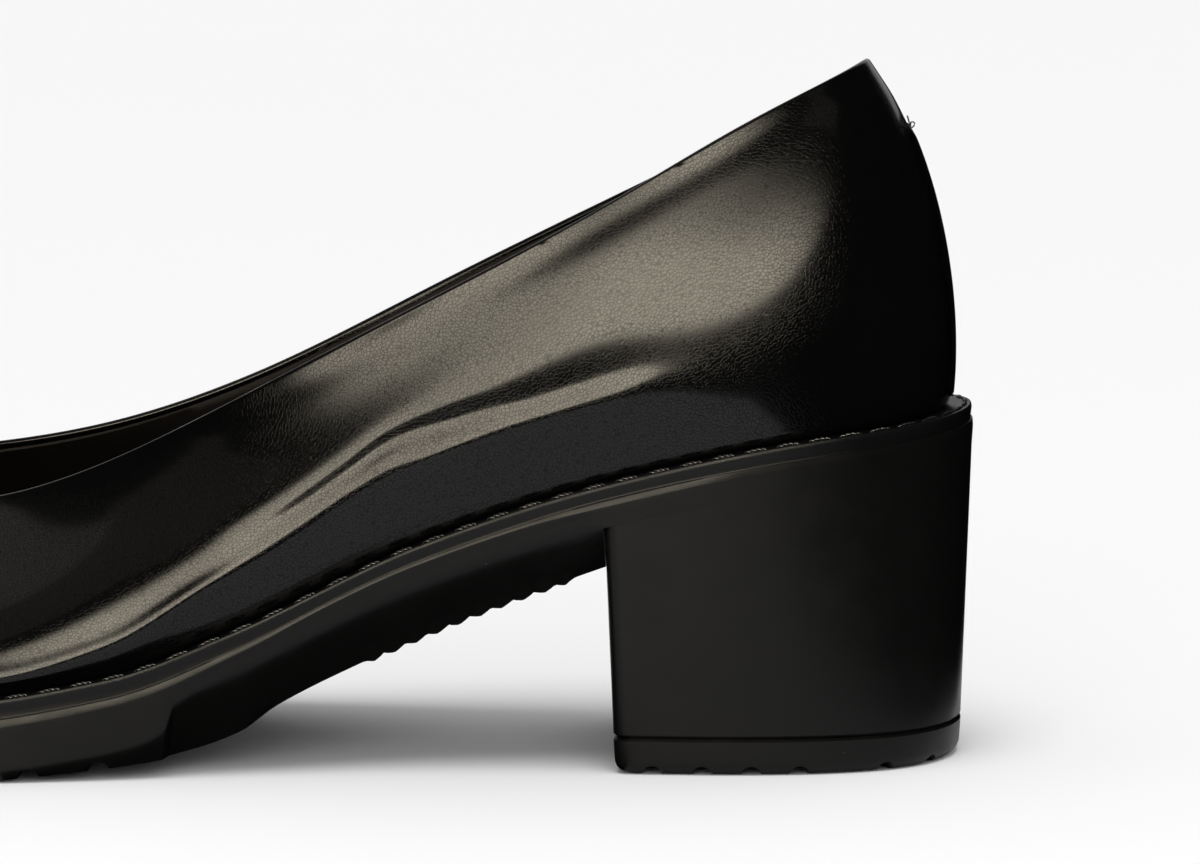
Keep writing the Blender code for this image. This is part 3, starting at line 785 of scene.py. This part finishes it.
# place, turn and size of the cards that only show in reflections: black ones make the table look short
# in front and on the heel side and dark under the arch, and a pale wall behind glances off the edges
cardSet = {
    "front card": ((0, -1.9, 0.002), (0, 0, 0), (5.0, 2.4)),
    "side card": ((0.14, 0, 0.058), (0, math.pi / 2, 0), (0.116, 1.2)),
    "arch card": ((0.015, -0.005, 0.0005), (0, 0, 0), (0.1, 0.08)),
    "back card": ((0, 1.4, 1.5), (math.pi / 2, 0, 0), (2.6, 2.4)),
}
# main light: a soft-edged panel standing in front of the quarter, slanting up towards the heel
panelSet = {
    "place": (0.15, -0.47, 0.3), "size": (0.7, 0.6), "power": 14.0, "colour": (1.0, 0.906, 0.727),
    "left": -0.125, "leftSoft": 0.04, "low": 0.091, "lowSlant": 0.87, "lowSoft": 0.012,
    "top": 0.31, "topTurn": 0.2, "topSlant": 0.2, "topSoft": 0.14,
    "dimLevel": 0.72, "dimFrom": 0.04, "dimTo": -0.06, "rightLevel": 0.05, "rightFrom": 0.14, "rightTo": 0.38,
}
# place, aim, size, power and colour of the dim lights, and whether they are mirrored or light the table
lampSet = {
    "ceiling": ((-0.1, -0.95, 1.35), (0.0, 0.0, 0.05), (2.2, 1.1), 2.4, (1.0, 0.93, 0.82), True),
    "above the toe": ((-0.4, 0.0, 1.19), (-0.03, 0.0, 0.05), (0.6, 0.6), 0.75, (1.0, 0.95, 0.86), True),
    "front fill": ((0.08, -0.8, 0.33), (0.05, 0.0, 0.02), (0.8, 0.4), 1.9, (1.0, 1.0, 1.0), False),
}
overheadSet = {"strength": 1.45, "spread": 34, "tilt": 16}


def card(name, place, turn, size, material, stageOnly=True):
    bpy.ops.object.select_all(action="DESELECT")
    bpy.ops.mesh.primitive_plane_add(size=1, location=place, rotation=turn)
    sheet = bpy.context.object
    sheet.name = name
    sheet.scale = (*size, 1)
    bpy.ops.object.transform_apply(location=True, rotation=True, scale=True)
    sheet.data.materials.append(material)
    if stageOnly:  # seen in reflections alone
        sheet.visible_camera = sheet.visible_diffuse = sheet.visible_shadow = False


def gray(tone):
    return tone, tone, tone, 1


def glowLook(name, strength):  # shines, and is black where it doesn't
    fixed = {"Base_Color": gray(0), "Roughness": 1.0, "Specular_IOR_Level": 0.0}
    return Look(name, Emission_Strength=strength, **fixed)


def makeStage():
    s = stageSet
    look = Look("studio table", Roughness=0.9, Specular_IOR_Level=0.0)
    look.feed("Base Color", look.mix(look.noise(400, 1), *(gray(tone) for tone in s["tableTone"])))
    card("table", (0, 0, 0), (0, 0, 0), s["table"], look.material, False)

    black = Look("black card", Roughness=1.0, Specular_IOR_Level=0.0)
    black.feed("Base Color", black.mix(black.noise(50, 1), gray(0.0), gray(0.001)))
    pale = glowLook("pale wall", s["wallGlow"])
    pale.feed("Emission Color", pale.mix(pale.noise(900, 1), gray(0.98), gray(1.0)))
    for name, (place, turn, size) in cardSet.items():
        card(name, place, turn, size, pale.material if name == "back card" else black.material)

    # the pale room lights the table but isn't mirrored in the leather
    world = bpy.data.worlds.new("studio")
    bpy.context.scene.world = world
    world.use_nodes = True
    background = world.node_tree.nodes["Background"]
    background.inputs["Color"].default_value = gray(1)
    background.inputs["Strength"].default_value = s["ambient"]
    world.cycles_visibility.glossy = False


def makePanel():
    s = panelSet
    look = glowLook("light panel", s["power"])
    height = look.node("ShaderNodeSeparateXYZ", None, {"Vector": look.place}, "Z")
    across = look.node("ShaderNodeSeparateXYZ", None, {"Vector": look.place}, "X")
    level = look.ramp(across, s["left"] - s["leftSoft"], s["left"] + s["leftSoft"])
    lowLine = height - across * s["lowSlant"]
    level = level * look.ramp(lowLine, s["low"] - s["lowSoft"], s["low"] + s["lowSoft"])
    topLine = height - (across - s["topTurn"]) * s["topSlant"]
    level = level * look.ramp(topLine, s["top"], s["top"] + s["topSoft"], 1.0, 0.0)
    level = level * look.ramp(across, s["dimTo"], s["dimFrom"], s["dimLevel"], 1.0)
    level = level * look.ramp(across, s["rightFrom"], s["rightTo"], 1.0, s["rightLevel"])
    look.feed("Emission Color", look.mix(level, gray(0), (*s["colour"], 1)))
    card("light panel", s["place"], (math.pi / 2, 0, 0), s["size"], look.material)


def softBox(name, place, aim, size, power, colour, mirrored):
    bpy.ops.object.light_add(type="AREA", location=place)
    lamp = bpy.context.object
    lamp.name = name
    lamp.data.shape = "RECTANGLE"
    lamp.data.size, lamp.data.size_y = size
    lamp.data.energy = power
    lamp.data.color = colour
    lamp.rotation_euler = (Vector(aim) - Vector(place)).to_track_quat("-Z", "Y").to_euler()
    lamp.visible_camera = False
    lamp.visible_glossy = mirrored
    lamp.visible_diffuse = not mirrored


def overhead():
    s = overheadSet
    bpy.ops.object.light_add(type="SUN", location=(0, 0, 2), rotation=(math.radians(s["tilt"]), 0, 0))
    lamp = bpy.context.object
    lamp.name = "overhead"
    lamp.data.energy = s["strength"]
    lamp.data.angle = math.radians(s["spread"])
    lamp.visible_glossy = False


def makeCamera():
    s = stageSet
    a, e = math.radians(s["azimuth"]), math.radians(s["elevation"])
    away = Vector((math.sin(a) * math.cos(e), -math.cos(a) * math.cos(e), math.sin(e)))
    aim = Vector(s["aim"])
    bpy.ops.object.camera_add(location=aim + away * s["distance"])
    camera = bpy.context.object
    camera.rotation_euler = (-away).to_track_quat("-Z", "Y").to_euler()
    camera.data.lens = s["lens"]
    camera.data.sensor_width = 36
    camera.data.sensor_fit = "HORIZONTAL"
    bpy.context.scene.camera = camera


makeStage()
makePanel()
for name, setting in lampSet.items():
    softBox(name, *setting)
overhead()
makeCamera()
bpy.context.scene.view_settings.view_transform = "Standard"
print("stage, light and camera done")
